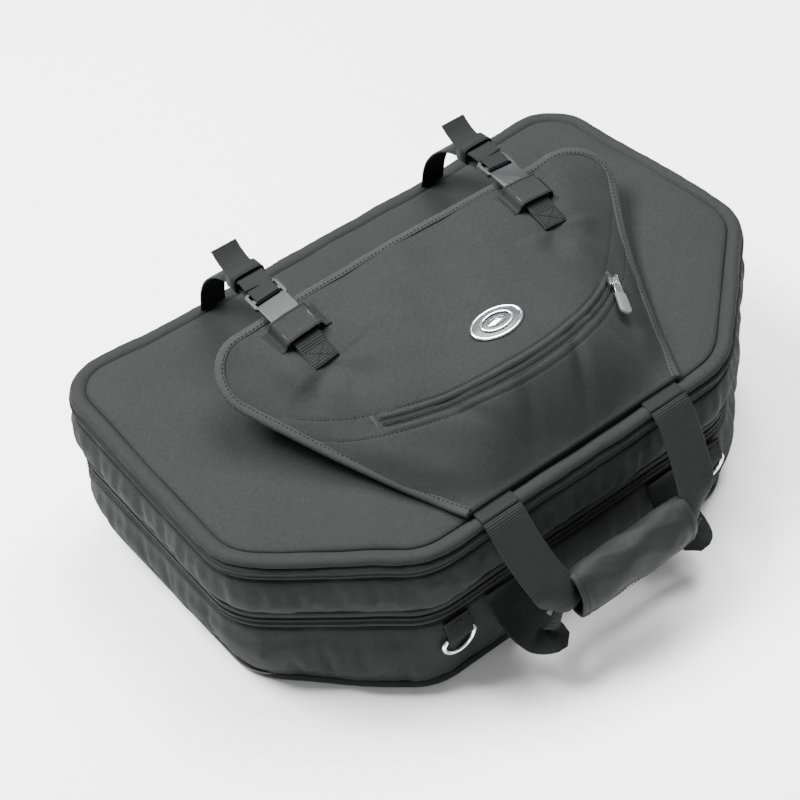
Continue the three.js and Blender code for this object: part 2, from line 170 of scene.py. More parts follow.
def woven(name, color, pitch=0.0011, rough=(0.68, 0.92), shine=0.12):
    """Ballistic nylon: a basket weave of thick yarns, a little dusty along the high places."""
    g = Graph(name, color, rough[1], Specular_IOR_Level=shine, Sheen_Weight=0.012, Sheen_Roughness=0.4)
    over, under = g.bands(pitch, "X"), g.bands(pitch, "Y")
    weave = g.math("ADD", g.math("MULTIPLY", over, under),
                   g.math("MULTIPLY", g.math("SUBTRACT", 1.0, over), g.math("SUBTRACT", 1.0, under)))
    cloudy = g.noise(14.0, 4.0)
    slub = g.noise(420.0, 3.0)
    shade = g.math("ADD", g.math("MULTIPLY", cloudy, 0.35),
                   g.math("ADD", g.math("MULTIPLY", weave, 0.3), g.math("MULTIPLY", slub, 0.55)))
    g.vary_color(shade, 0.2, 1.75)
    g.vary_roughness(cloudy, *rough)
    g.bump(g.math("ADD", weave, g.math("MULTIPLY", slub, 0.8)), 0.35, 0.0004)
    return g.material


def ribbed(name, color, pitch, direction="X", roughness=0.72):
    """Webbing or binding tape: ribs across its length over a fine yarn grain."""
    g = Graph(name, color, roughness, Specular_IOR_Level=0.16, Sheen_Weight=0.012, Sheen_Roughness=0.4)
    ribs = g.bands(pitch, direction)
    yarn = g.noise(1400.0, 2.0)
    worn = g.noise(60.0, 3.0)
    shade = g.math("ADD", g.math("MULTIPLY", ribs, 0.5),
                   g.math("ADD", g.math("MULTIPLY", yarn, 0.25), g.math("MULTIPLY", worn, 0.25)))
    g.vary_color(shade, 0.45, 1.5)
    g.vary_roughness(worn, roughness - 0.1, roughness + 0.12)
    g.bump(g.math("ADD", ribs, g.math("MULTIPLY", yarn, 0.35)), 0.6, 0.0005)
    return g.material


def moulded(name, color, roughness, grain=0.15, shine=0.5):
    """Injection-moulded plastic or rubber with a fine spark-eroded grain."""
    g = Graph(name, color, roughness, Specular_IOR_Level=shine)
    fine, wide = g.noise(2600.0, 2.0), g.noise(90.0, 3.0)
    g.vary_color(wide, 0.85, 1.15)
    g.vary_roughness(wide, roughness - 0.08, roughness + 0.1)
    g.bump(fine, grain, 0.0002)
    return g.material


def plated(name):
    """Bright nickel-chrome plate with faint handling haze."""
    g = Graph(name, (0.82, 0.83, 0.84), 0.12, metallic=1.0)
    haze = g.noise(70.0, 4.0)
    g.vary_color(haze, 0.9, 1.05)
    g.vary_roughness(haze, 0.08, 0.24)
    return g.material


def enamel(name):
    """Dark gloss enamel under a clear coat, with a soft pearly drift."""
    g = Graph(name, (0.03, 0.032, 0.034), 0.35, Specular_IOR_Level=0.35, Coat_Weight=0.12, Coat_Roughness=0.1)
    drift = g.noise(45.0, 3.0)
    g.vary_color(drift, 0.6, 1.6)
    g.vary_roughness(drift, 0.22, 0.4)
    return g.material


M = {
    "fabric": woven("ballistic_nylon", (0.0122, 0.013, 0.0127), 0.0016),
    "grip": woven("grip_nylon", (0.0085, 0.009, 0.009), 0.0009, rough=(0.5, 0.68), shine=0.16),
    "lining": woven("lining_nylon", (0.02, 0.0215, 0.0215), 0.0007),
    "trim": ribbed("binding_tape", (0.02, 0.021, 0.0207), 0.0014, "Y"),
    "webbing": ribbed("nylon_webbing", (0.0075, 0.008, 0.008), 0.0021, "Y"),
    "tape": ribbed("zip_tape", (0.009, 0.0095, 0.0095), 0.0009, "Y"),
    "thread": ribbed("bonded_thread", (0.0095, 0.01, 0.01), 0.0005),
    "teeth": moulded("zip_coil_nylon", (0.008, 0.0085, 0.0085), 0.6, shine=0.25),
    "plastic": moulded("buckle_acetal", (0.015, 0.0158, 0.0162), 0.46, shine=0.28),
    "rubber": moulded("pull_rubber", (0.085, 0.088, 0.09), 0.5),
    "board": moulded("stiffener_board", (0.02, 0.02, 0.02), 0.6),
    "chrome": plated("bright_plate"),
    "enamel": enamel("badge_enamel"),
}


# ---- mesh tools --------------------------------------------------------------------------
def smoothstep(low, high, value):
    """A smooth rise from 0 at low to 1 at high."""
    t = np.clip((np.asarray(value, float) - low) / (high - low), 0, 1)
    return t * t * (3 - 2 * t)


def unit(v):
    """Vectors scaled to length 1."""
    return v / np.maximum(np.linalg.norm(v, axis=-1, keepdims=True), 1e-12)


def piece(name, vertices, faces, uvs, look, body, replaces=()):
    """A new object from millimetre vertices. uvs holds one millimetre pair for each face corner."""
    mesh = bpy.data.meshes.new(name)
    mesh.from_pydata((np.asarray(vertices) * MM).tolist(), [], faces)
    layer = mesh.uv_layers.new(name="cut")
    layer.data.foreach_set("uv", (np.asarray(uvs, float) * MM).ravel())
    mesh.materials.append(M[look])
    mesh.polygons.foreach_set("use_smooth", [True] * len(mesh.polygons))
    mesh.validate()
    obj = bpy.data.objects.new(name, mesh)
    bpy.context.scene.collection.objects.link(obj)
    if body:
        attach(obj, body)
    if replaces:
        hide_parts(*replaces)
    return obj


def grid(name, rows, look, body, replaces=(), join_rows=False, join_columns=False, caps=False):
    """A quad mesh over rows of points, shaped (rows, columns, 3), with its cloth uvs."""
    rows = np.asarray(rows, float)
    m, n = rows.shape[:2]
    along = np.linalg.norm(np.diff(rows, axis=0, append=rows[:1]), axis=2).mean(1)
    across = np.linalg.norm(np.diff(rows, axis=1, append=rows[:, :1]), axis=2).mean(0)
    u = np.concatenate([[0], np.cumsum(across)])
    v = np.concatenate([[0], np.cumsum(along)])
    i, j = np.meshgrid(np.arange(m if join_rows else m - 1), np.arange(n if join_columns else n - 1),
                       indexing="ij")
    i, j = i.ravel(), j.ravel()
    i2, j2 = (i + 1) % m, (j + 1) % n
    faces = np.stack([i * n + j, i * n + j2, i2 * n + j2, i2 * n + j], 1)
    uvs = np.stack([np.stack([u[j], v[i]], 1), np.stack([u[j + 1], v[i]], 1),
                    np.stack([u[j + 1], v[i + 1]], 1), np.stack([u[j], v[i + 1]], 1)], 1)
    faces, uvs = faces.tolist(), uvs.reshape(-1, 2)
    if caps:
        ends = [list(range(n))[::-1], [(m - 1) * n + k for k in range(n)]]
        faces += ends
        uvs = np.concatenate([uvs, *[rows.reshape(-1, 3)[end][:, [0, 1]] for end in ends]])
    return piece(name, rows.reshape(-1, 3), faces, uvs, look, body, replaces)


def recalculate(obj):
    """Turns the faces of a closed piece outwards."""
    bm = bmesh.new()
    bm.from_mesh(obj.data)
    bmesh.ops.recalc_face_normals(bm, faces=bm.faces)
    bm.to_mesh(obj.data)
    bm.free()
    return obj


def spline(points, step=2.0):
    """A Catmull-Rom curve through the points, resampled evenly."""
    p = np.asarray(points, float)
    p = np.vstack([2 * p[0] - p[1], p, 2 * p[-1] - p[-2]])
    t = np.linspace(0, 1, 17)[:-1, None]
    out = []
    for a, b, c, d in zip(p[:-3], p[1:-2], p[2:-1], p[3:]):
        out.append(0.5 * ((2 * b) + (c - a) * t + (2 * a - 5 * b + 4 * c - d) * t ** 2
                          + (3 * b - a - 3 * c + d) * t ** 3))
    dense = np.vstack([*out, p[-2:-1]])
    return resample(dense, step)


def resample(path, step, closed=False):
    """The path with its points evenly spaced, about a step apart."""
    path = np.asarray(path, float)
    if closed:
        path = np.vstack([path, path[:1]])
    length = np.concatenate([[0], np.cumsum(np.linalg.norm(np.diff(path, axis=0), axis=1))])
    count = max(2, int(round(length[-1] / step)))
    at = np.linspace(0, length[-1], count + 1)
    if closed:
        at = at[:-1]
    return np.stack([np.interp(at, length, path[:, k]) for k in range(path.shape[1])], 1)


def tangents(path, closed=False):
    """The path's direction at each point."""
    if closed:
        return unit(np.roll(path, -1, 0) - np.roll(path, 1, 0))
    return unit(np.gradient(path, axis=0))


def ribbon(name, path, side, width, thickness, look, body, replaces=(), cup=None):
    """A flat woven strip: side is its width direction, cup the bow of its section at each point."""
    n = len(path)
    along = tangents(path)
    side = unit(np.broadcast_to(np.asarray(side, float), (n, 3)))
    side = unit(side - along * (side * along).sum(1, keepdims=True))
    up = np.cross(side, along)
    width = np.broadcast_to(np.asarray(width, float), (n,))
    cup = np.zeros(n) if cup is None else np.asarray(cup, float)
    w = np.array([-1, -0.97, -0.85, -0.6, -0.3, 0, 0.3, 0.6, 0.85, 0.97, 1.0])
    half = thickness / 2 * np.array([0.55, 0.95, 1, 0.92, 0.95, 0.92, 0.95, 0.92, 1, 0.95, 0.55])
    section_w = np.concatenate([w, w[::-1]])
    section_h = np.concatenate([half, -half[::-1]])
    angle = section_w[None] * np.maximum(cup, 1e-4)[:, None]
    radius = (width / 2 / np.maximum(cup, 1e-4))[:, None]
    across = (radius - section_h[None]) * np.sin(angle)
    height = radius - (radius - section_h[None]) * np.cos(angle)
    rows = path[:, None] + side[:, None] * across[..., None] + up[:, None] * height[..., None]
    return recalculate(grid(name, rows, look, body, replaces, join_columns=True, caps=True))


def stitches(name, path, normals, body, look="thread", pitch=3.4, length=2.3, radius=0.36, lift=0.1,
             closed=False):
    """A row of short raised threads along a path that lies on a surface."""
    joined = np.hstack([path, np.broadcast_to(normals, path.shape)])
    joined = resample(joined, pitch, closed)
    centre, normal = joined[:, :3], unit(joined[:, 3:])
    along = tangents(centre, closed)
    side = np.cross(along, normal)
    stations = [(-0.5, 0.45, -0.3), (-0.28, 1, 0.12), (0.28, 1, 0.12), (0.5, 0.45, -0.3)]
    angles = np.arange(6) * math.pi / 3
    verts = []
    for s, scale, rise in stations:
        middle = centre + along * (s * length) + normal * (lift + rise)
        for a in angles:
            verts.append(middle + side * (radius * scale * math.cos(a)) + normal * (radius * scale * math.sin(a)))
    verts = np.stack(verts, 1)
    k = len(angles)
    faces = [[r * k + a, r * k + (a + 1) % k, (r + 1) * k + (a + 1) % k, (r + 1) * k + a]
             for r in range(3) for a in range(k)]
    faces += [list(range(k))[::-1], list(range(3 * k, 4 * k))]
    every = [[v + 24 * i for v in face] for i in range(len(centre)) for face in faces]
    corners = sum(len(face) for face in faces) * len(centre)
    uvs = np.zeros((corners, 2))
    return piece(name, verts.reshape(-1, 3), every, uvs, look, body)


def rod(name, path, radius, look, body, replaces=(), closed=False, sides=12, normal=(0, 0, 1)):
    """A round rod; radius may be one number or one for each point."""
    along = tangents(path, closed)
    a = unit(np.cross(along, np.asarray(normal, float)))
    b = np.cross(along, a)
    radius = np.broadcast_to(np.asarray(radius, float), (len(path),))[:, None, None]
    angle = np.arange(sides) * 2 * math.pi / sides
    rows = path[:, None] + radius * (a[:, None] * np.cos(angle)[:, None] + b[:, None] * np.sin(angle)[:, None])
    return recalculate(grid(name, rows, look, body, replaces, join_rows=closed, join_columns=True, caps=not closed))


def bevelled(node, look, width):
    """A copy of a hard CAD node with its sharp edges broken, which stands for the node."""
    source = frame["nodes"][node]
    mesh = source.data.copy()
    mesh.materials.clear()
    mesh.materials.append(M[look])
    obj = bpy.data.objects.new(node + "_finish", mesh)
    bpy.context.scene.collection.objects.link(obj)
    bm = bmesh.new()
    bm.from_mesh(mesh)
    bmesh.ops.remove_doubles(bm, verts=bm.verts, dist=1e-6)
    bmesh.ops.dissolve_limit(bm, angle_limit=math.radians(3), verts=bm.verts, edges=bm.edges)
    bmesh.ops.recalc_face_normals(bm, faces=bm.faces)
    sharp = [e for e in bm.edges if len(e.link_faces) == 2 and e.calc_face_angle(0) > math.radians(35)]
    bmesh.ops.bevel(bm, geom=sharp, offset=width * MM, segments=2, affect="EDGES", profile=0.6, clamp_overlap=True)
    bm.to_mesh(mesh)
    bm.free()
    mesh.polygons.foreach_set("use_smooth", [True] * len(mesh.polygons))
    mesh.set_sharp_from_angle(angle=math.radians(40))
    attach(obj, frame["nodes"][node]["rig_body"])
    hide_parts(node)
    return obj


def swell(obj, free, pressure, growth, cap):
    """Lets a padded cover fill and wrinkle as cloth. free holds how far each vertex may move, from 0 to 1."""
    seams = obj.vertex_groups.new(name="seams")
    seams.add(np.nonzero(free < 0.01)[0].tolist(), 1.0, "REPLACE")
    cloth = obj.modifiers.new("Cloth", "CLOTH")
    cloth.settings.quality = 5
    cloth.settings.mass = 0.2
    cloth.settings.bending_stiffness = 0.6
    cloth.settings.use_pressure = True
    cloth.settings.uniform_pressure_force = pressure
    cloth.settings.shrink_min = -growth
    cloth.settings.vertex_group_mass = "seams"
    cloth.settings.effector_weights.gravity = 0
    cloth.point_cache.frame_end = SWELL_FRAMES
    scene = bpy.context.scene
    for number in range(1, SWELL_FRAMES + 1):
        scene.frame_set(number)
    filled = obj.evaluated_get(bpy.context.evaluated_depsgraph_get()).data
    before, after = np.empty(3 * len(obj.data.vertices)), np.empty(3 * len(obj.data.vertices))
    obj.data.vertices.foreach_get("co", before)
    filled.vertices.foreach_get("co", after)
    move = (after - before).reshape(-1, 3)
    length = np.linalg.norm(move, axis=1, keepdims=True)
    move *= np.minimum(1, cap * MM / np.maximum(length, 1e-9)) * free[:, None]
    obj.modifiers.remove(cloth)
    obj.vertex_groups.remove(seams)
    obj.data.vertices.foreach_set("co", (before.reshape(-1, 3) + move).ravel())
    obj.data.update()
    scene.frame_set(1)


# ---- the case's plan ---------------------------------------------------------------------
def plan(step):
    """Points and outward normals of the case's outline, evenly spaced, counter-clockwise."""
    corners = [(-FRONT_HALF, FRONT_Y, FRONT_RADIUS), (FRONT_HALF, FRONT_Y, FRONT_RADIUS),
               (HALF_WIDTH, CHAMFER_Y, FRONT_RADIUS), (HALF_WIDTH, REAR_Y, REAR_RADIUS),
               (-HALF_WIDTH, REAR_Y, REAR_RADIUS), (-HALF_WIDTH, CHAMFER_Y, FRONT_RADIUS)]
    points = []
    for k, (x, y, radius) in enumerate(corners):
        at = np.array([x, y])
        back = unit(np.array(corners[k - 1][:2]) - at)
        ahead = unit(np.array(corners[(k + 1) % 6][:2]) - at)
        half = math.acos(back @ ahead) / 2
        centre = at + unit(back + ahead) * radius / math.sin(half)
        start = math.atan2(-back[0], back[1]) + math.pi
        for t in np.linspace(0, 1, 25):
            angle = start + (math.pi - 2 * half) * t
            normal = np.array([math.cos(angle), math.sin(angle)])
            points.append([*(centre + radius * normal), *normal])
    spaced = resample(np.array(points), step, closed=True)
    return spaced[:, :2], unit(spaced[:, 2:])


def settle(p):
    """Where the soft case really stands: its corners lift or slump, its foot draws in, seams wander."""
    p = np.array(p, float)
    x, y, z = p[..., 0].copy(), p[..., 1].copy(), p[..., 2]
    height = np.clip(z / LID_TOP_Z, 0, 1.1)
    left_front = smoothstep(-140, -260, x) * (1 - smoothstep(-40, 100, y))
    left_rear = smoothstep(-150, -270, x) * smoothstep(20, 150, y)
    right = smoothstep(115, 235, x) * (7 + 14 * (1 - smoothstep(-30, 140, y)))
    wander = 0.7 * np.sin(0.041 * x + 0.9) * np.sin(0.05 * y + 0.4) + 0.35 * np.sin(0.11 * x - 0.07 * y)
    p[..., 2] = z + (height * (7 * left_rear - 5 * left_front + wander)
                      + height ** 1.6 * right)
    foot = 1 - smoothstep(0, SPLIT_Z, z)
    p[..., 0] = x + foot * (12 * smoothstep(-190, -275, x) - 2 * smoothstep(200, 275, x))
    return p


def band(name, section, look, body, replaces=(), step=3.4, ripples=None):
    """A closed band round the case from a loop of (offset, height) points."""
    flat, normal = plan(step)
    s = np.arange(len(flat)) * step
    rows = []
    for k, (offset, z) in enumerate(section):
        ripple = 0.0 if ripples is None else ripples[k]
        wave = ripple * (0.5 * np.sin(s * 0.19 + z * 0.03) + np.sin(s * 0.071 + 1.3 - z * 0.02)
                         + 0.35 * np.sin(s * 0.41 + 0.5))
        rows.append(np.column_stack([flat + normal * (offset + wave)[:, None], np.full(len(flat), z)]))
    return recalculate(grid(name, settle(np.array(rows)), look, body, replaces, join_rows=True, join_columns=True))


def seam_line(offset, z, step=2.0):
    """A path round the case with its outward normals."""
    flat, normal = plan(step)
    path = settle(np.column_stack([flat + normal * offset, np.full(len(flat), z)]))
    return path, np.column_stack([normal, np.zeros(len(flat))])


RINGS = [sum(box(f"lashing_ring_{end}_{side}")) / 2 for end in ("front", "rear") for side in ("left", "right")]


def padded_wall(name, low, high, body, replaces, inner=-6.4):
    """A foam-filled wall: it swells between its two seams and puckers a little beside them."""
    rows = 20
    t = np.linspace(0, 1, rows)
    offset = -1.8 + 5.6 * np.sin(math.pi * t) ** 0.5
    section = list(zip(offset, low + (high - low) * t)) + [(inner, high), (inner, low)]
    ripples = list(0.5 + 0.7 * np.sin(math.pi * t)) + [0, 0]
    obj = band(name, section, "fabric", body, replaces, ripples=ripples)
    between = np.zeros(rows + 2)
    between[:rows] = smoothstep(0.08, 0.3, t) * smoothstep(0.9, 0.66, t)
    columns = len(obj.data.vertices) // (rows + 2)
    free = np.repeat(between, columns)
    at = np.array([v.co[:] for v in obj.data.vertices]) / MM
    for ring in RINGS:
        away = np.hypot(at[:, 0] - ring[0], at[:, 2] - ring[2]) + 4 * np.abs(at[:, 1] - ring[1]).clip(25) - 100
        free *= smoothstep(26, 46, away)
    swell(obj, free, 3.0, 0.03, 5.0)
    return obj


def web_section(low, high):
    """The section of a strip of zip tape between two heights."""
    return [(-1.6, low), (-1.6, high), (-2.6, high), (-2.6, low)]


def rolled_strip(name, low, high, body, depth=0.9, inner=-2.6):
    """A narrow folded edge of fabric that runs beside a zip."""
    t = np.linspace(0, 1, 7)
    section = list(zip(-0.9 + depth * np.sin(math.pi * t) ** 0.6, low + (high - low) * t))
    section += [(inner, high), (inner, low)]
    return band(name, section, "fabric", body)


def teeth(name, z, reach, shift, body, pitch=1.9):
    """Half of a zip coil: rounded teeth that stand on the tape and reach towards the other half."""
    flat, normal = plan(pitch)
    n = len(flat)
    s = (np.arange(n) + shift) * 1.0
    flat = np.stack([np.interp(s, np.arange(n + 1), np.append(flat[:, k], flat[0, k])) for k in (0, 1)], 1)
    base = settle(np.column_stack([flat + normal * -0.6, np.full(n, z)]))
    tangent = np.column_stack([-normal[:, 1], normal[:, 0], np.zeros(n)])
    out = np.column_stack([normal, np.zeros(n)])
    return tooth_blocks(name, base, tangent, out, np.array([0, 0, 1.0]), reach, body)


def tooth_blocks(name, base, tangent, out, up, reach, body):
    """One small rounded block at each base point."""
    n = len(base)
    up = np.broadcast_to(up, (n, 3))
    verts = []
    foot = [(-1, 0, 0), (1, 0, 0), (1, 1, 0), (-1, 1, 0)]
    crown = [(-0.6, 0.1, 1), (0.6, 0.1, 1), (0.6, 0.85, 1), (-0.6, 0.85, 1)]
    for a, b, c in foot + crown:
        verts.append(base + tangent * (a * 0.62) + up * (b * reach) + out * (c * 0.85))
    verts = np.stack(verts, 1).reshape(-1, 3)
    faces = [[0, 3, 2, 1], [4, 5, 6, 7], [0, 1, 5, 4], [1, 2, 6, 5], [2, 3, 7, 6], [3, 0, 4, 7]]
    every = [[v + 8 * i for v in face] for i in range(n) for face in faces]
    obj = piece(name, verts, every, np.zeros((24 * n, 2)), "teeth", body)
    return recalculate(obj)


# ---- case --------------------------------------------------------------------------------
def lower_case():
    """The bottom, the base welt, the lower wall and its half of the middle zip."""
    padded_wall("lower_wall_cover", 9.0, LOWER_TOP + 0.5, "base", ["lower_wall"])
    welt = [(-9, 0.2), (-4, 0.3), (-1, 1.2), (0.5, 3.2), (0.7, 5.6), (0.1, 7.8), (-1.8, 9.2), (-7, 9.2)]
    band("base_welt", welt, "fabric", "base", ["bottom_piping"])
    scales = [1.0, 0.985, 0.93, 0.8, 0.6, 0.35, 0.1]
    rise = [0.9, 0.35, 0.25, 0.3, 0.35, 0.4, 0.4]
    flat, _ = plan(6.0)
    under = [np.column_stack([flat * 0.972 * k, np.full(len(flat), z)]) for k, z in zip(scales, rise)]
    over = [np.column_stack([flat * 0.972 * k, np.full(len(flat), 5.6)]) for k in scales[::-1]]
    obj = grid("bottom_cover", settle(np.array(under + over)), "fabric", "base", ["bottom_panel"],
               join_columns=True)
    close_holes(obj)
    recalculate(obj)
    for k, (offset, z) in enumerate([(-1.1, 10.6), (-0.5, LOWER_TOP - 2.2)]):
        path, normal = seam_line(offset + 1.1, z)
        stitches(f"lower_wall_stitching_{k + 1}", path, normal, "base", closed=True)
    rolled_strip("middle_zip_lower_edge", LOWER_TOP + 0.6, SPLIT_Z - 3.4, "base")
    band("middle_zip_lower_web", web_section(SPLIT_Z - 4.5, SPLIT_Z - 0.3), "tape", "base",
         ["middle_zip_lower_tape"])
    path, normal = seam_line(0.15, SPLIT_Z - 5.0)
    stitches("middle_zip_lower_stitching", path, normal, "base", closed=True)
    teeth("middle_zip_lower_teeth", SPLIT_Z - 1.8, 2.0, 0.0, "base")


def close_holes(obj):
    """Fills the open rings of a mesh."""
    bm = bmesh.new()
    bm.from_mesh(obj.data)
    bmesh.ops.holes_fill(bm, edges=[e for e in bm.edges if e.is_boundary])
    bm.to_mesh(obj.data)
    bm.free()


def upper_case():
    """The upper wall, with the middle zip's upper half and the upper zip's lower half."""
    band("middle_zip_upper_web", web_section(SPLIT_Z + 0.3, SPLIT_Z + 4.5), "tape", "upper_case",
         ["middle_zip_upper_tape"])
    teeth("middle_zip_upper_teeth", SPLIT_Z + 1.8, -2.0, 0.5, "upper_case")
    rolled_strip("middle_zip_upper_edge", SPLIT_Z + 3.4, UPPER_BOTTOM - 0.6, "upper_case")
    padded_wall("upper_wall_cover", UPPER_BOTTOM - 0.5, UPPER_TOP + 0.5, "upper_case", ["upper_wall"])
    rolled_strip("upper_zip_lower_edge", UPPER_TOP + 0.6, LID_Z - 2.8, "upper_case", 0.7)
    band("upper_zip_lower_web", web_section(LID_Z - 3.6, LID_Z - 0.3), "tape", "upper_case",
         ["upper_zip_lower_tape"])
    teeth("upper_zip_lower_teeth", LID_Z - 1.7, 1.9, 0.0, "upper_case")
    path, normal = seam_line(0.9, UPPER_BOTTOM + 2.0)
    stitches("upper_wall_low_stitching", path, normal, "upper_case", closed=True)
    path, normal = seam_line(0.6, UPPER_TOP - 1.4)
    stitches("upper_wall_high_stitching", path, normal, "upper_case", closed=True)


def lid():
    """The padded lid, its rolled edge and skirt, and the upper half of its zip."""
    band("upper_zip_upper_web", web_section(LID_Z + 0.3, LID_Z + 4.2), "tape", "lid",
         ["upper_zip_upper_tape"])
    teeth("upper_zip_upper_teeth", LID_Z + 1.7, -1.9, 0.5, "lid")
    skirt = [(-3.2, -0.8), (1.4, -0.8), (2.9, 0.1), (3.1, 1.2), (2.2, 2.7), (0.5, 3.9), (-1.4, 4.6), (-6, 4.4)]
    band("lid_skirt", [(a, LID_EDGE_Z + b) for a, b in skirt], "fabric", "lid")
    roll = [(-12.6, -6.0), (-4, -4.9), (-1.2, -4.4), (0.4, -3.4), (1.1, -1.7), (0.6, 0.3), (-1.0, 1.9),
            (-3.4, 2.8), (-6.4, 2.9), (-9.2, 2.1), (-11.4, 0.7), (-12.6, -1.0)]
    ripples = [0, 0, 0.2, 0.3, 0.4, 0.35, 0.3, 0.3, 0.2, 0.1, 0, 0]
    obj = band("lid_roll", [(a, LID_TOP_Z + b) for a, b in roll], "fabric", "lid", ["lid_piping"], ripples=ripples)
    path, normal = seam_line(2.6, LID_EDGE_Z + 2.6)
    stitches("lid_skirt_stitching", path, normal + np.array([0, 0, 0.9]), "lid", closed=True)
    flat, normal = plan(4.0)
    top = []
    for inset, rise in [(-12.0, -3), (-12.3, 0.4), (-13.4, 1.7), (-16.5, 2.5), (-23, 3.4), (-36, 4.3)]:
        top.append(np.column_stack([flat + normal * inset, np.full(len(flat), LID_TOP_Z + rise)]))
    for scale in (0.9, 0.8, 0.68, 0.54, 0.4, 0.26, 0.12, 0.001):
        ring = (flat + normal * -36) * scale / 0.96
        top.append(np.column_stack([ring, np.full(len(flat), LID_TOP_Z + 4.6 + 1.2 * (1 - scale))]))
    top = np.array(top)
    x, y = top[..., 0], top[..., 1]
    inside = smoothstep(0, 4, np.arange(len(top)))[:, None]
    top[..., 2] += inside * (0.7 * np.sin(0.03 * x + 0.5) * np.sin(0.041 * y) + 0.3 * np.sin(0.09 * x + 0.05 * y))
    bottom = top[::-1].copy()
    bottom[..., 2] = LID_EDGE_Z + 2.5
    rings = settle(np.concatenate([top, bottom]))
    rings[..., 2] = np.maximum(rings[..., 2], LID_EDGE_Z + 2.5)
    obj = grid("lid_cover", rings, "fabric", "lid", ["lid_panel"], join_rows=True, join_columns=True)
    recalculate(obj)


def gusset(name, path):
    """The cloth hinge inside the rear wall, which closes the gap when a zip is open."""
    path = spline([(0, y, z) for y, z in path], 1.5)
    obj = ribbon(name, path, (1, 0, 0), 2 * (HALF_WIDTH - REAR_RADIUS) - 20, 1.0, "lining", None)
    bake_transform(obj)


# ---- flap --------------------------------------------------------------------------------
SIDE_SLOPE = (FLAP_REAR_HALF - FLAP_FRONT_HALF) / FLAP_LENGTH
SIDE_ANGLE = math.atan(SIDE_SLOPE)
CORNER_D = FLAP_LENGTH - FLAP_RADIUS
CORNER_X = FLAP_FRONT_HALF + SIDE_SLOPE * CORNER_D - FLAP_RADIUS / math.cos(SIDE_ANGLE)


def flap_half_width(d):
    """Half the width of the flap at distance d behind its front seam."""
    round_part = CORNER_X + np.sqrt(np.clip(FLAP_RADIUS ** 2 - (d - CORNER_D) ** 2, 0, None))
    straight = d < CORNER_D - FLAP_RADIUS * math.sin(SIDE_ANGLE)
    return np.where(straight, FLAP_FRONT_HALF + SIDE_SLOPE * d, round_part)


def flap_height(x, d):
    """How high the arched flap stands above its front seam."""
    v = np.clip(d, 0, None) / FLAP_LENGTH
    u = np.minimum(np.abs(x) / (FLAP_FRONT_HALF + SIDE_SLOPE * d), 1)
    middle = FLAP_DOME * (1 - np.exp(-((v / 0.125) ** 1.5))) + 5 * v
    edge = 52 * v ** 1.5
    return edge + (middle - edge) * (1 - u ** 2.4)


def pocket_station(x):
    """Distance of the pocket zip behind the front seam, along its curve."""
    return 50 + 44 * np.abs(x / POCKET_HALF) ** 2.2


def flap_creases(x, d):
    """Soft drape on the flap: dents under the buckle tabs, puckers that fan out from them, folds at its sides."""
    lift = np.zeros(np.broadcast(x, d).shape)
    for side in (-1, 1):
        dx, dd = (x - side * (BUCKLE_X - 2)) * side, d - 160
        away, turn = np.hypot(dx, dd), np.arctan2(dd, dx)
        fan = np.cos(4.5 * turn + 0.8 * side) * np.exp(-((away - 27) / 15) ** 2) * smoothstep(6, -6, dd)
        lift += 1.5 * fan - 3.4 * np.exp(-(dx / 17) ** 2 - ((dd + 6) / 11) ** 2)
        lift += 2.6 * np.exp(-((dx - 26) / 13) ** 2 - ((dd - 8) / 22) ** 2)
        fold = side * x - 74 - 0.42 * d
        lift += 1.6 * np.exp(-(fold / 15) ** 2) * smoothstep(90, 190, d)
        run = side * x * 0.86 - 0.5 * (d - 40) - 96
        lift += 1.7 * np.exp(-(run / 9) ** 2) * smoothstep(10, 40, d) * (1 - smoothstep(70, 150, d))
    lift += 1.1 * np.sin(0.035 * x + 0.6) * np.sin(0.028 * d) + 0.7 * np.sin(0.062 * x - 0.05 * d + 0.4)
    lift += 0.35 * np.sin(0.13 * x + 0.07 * d) * np.sin(0.09 * d - 0.05 * x + 1.0)
    dents = 3.0 * np.exp(-(((x - 34) * 0.9 - (d - 34) * 0.45) / 6.5) ** 2) * np.exp(-((d - 32) / 22) ** 2)
    dents += 2.4 * np.exp(-(((x - 80) + (d - 50) * 0.5) / 7) ** 2) * np.exp(-((d - 52) / 20) ** 2)
    dents += 2.6 * np.exp(-(((x + 24) - (d - 26) * 0.3) / 8) ** 2) * np.exp(-((d - 26) / 15) ** 2)
    dents += 1.8 * np.exp(-(((x + 70) + (d - 52) * 0.7) / 8) ** 2) * np.exp(-((d - 50) / 22) ** 2)
    return 1.35 * (lift - dents) * smoothstep(0, 14, d)


def pocket_relief(x, d):
    """The pocket's zip: a window in the outer cloth with a folded lip behind it and a seam in front."""
    t = d - pocket_station(x)
    open_ = 1 - smoothstep(POCKET_HALF - 8, POCKET_HALF - 2, np.abs(x))
    window = -1.6 * (1 - smoothstep(3.2, 4.2, np.abs(t)))
    lip = 1.3 * np.exp(-((t - 6.6) / 1.9) ** 2)
    front = 0.5 * np.exp(-((t + 6.2) / 1.8) ** 2)
    seams = -0.6 * np.exp(-((t - 10.5) / 0.9) ** 2) - 0.5 * np.exp(-((t + 9.6) / 0.9) ** 2)
    return (window + lip + front) * open_ + seams


def flap_point(x, d, lift=0.0):
    """Points of the smooth flap; its right rear corner flares out and up."""
    x, d = np.asarray(x, float), np.asarray(d, float)
    flare = smoothstep(142, 212, x) * smoothstep(70, 205, d)
    height = FLAP_Z + flap_height(x, d) + 9 * flare + lift
    return np.stack([x + 12 * flare, FLAP_Y + d, height + np.zeros_like(x)], -1)


def flap_normal(x, d):
    """Outward normals of the smooth flap."""
    ax = flap_point(np.add(x, 1), d) - flap_point(np.subtract(x, 1), d)
    ad = flap_point(x, np.add(d, 1)) - flap_point(x, np.subtract(d, 1))
    return unit(np.cross(ax, ad))


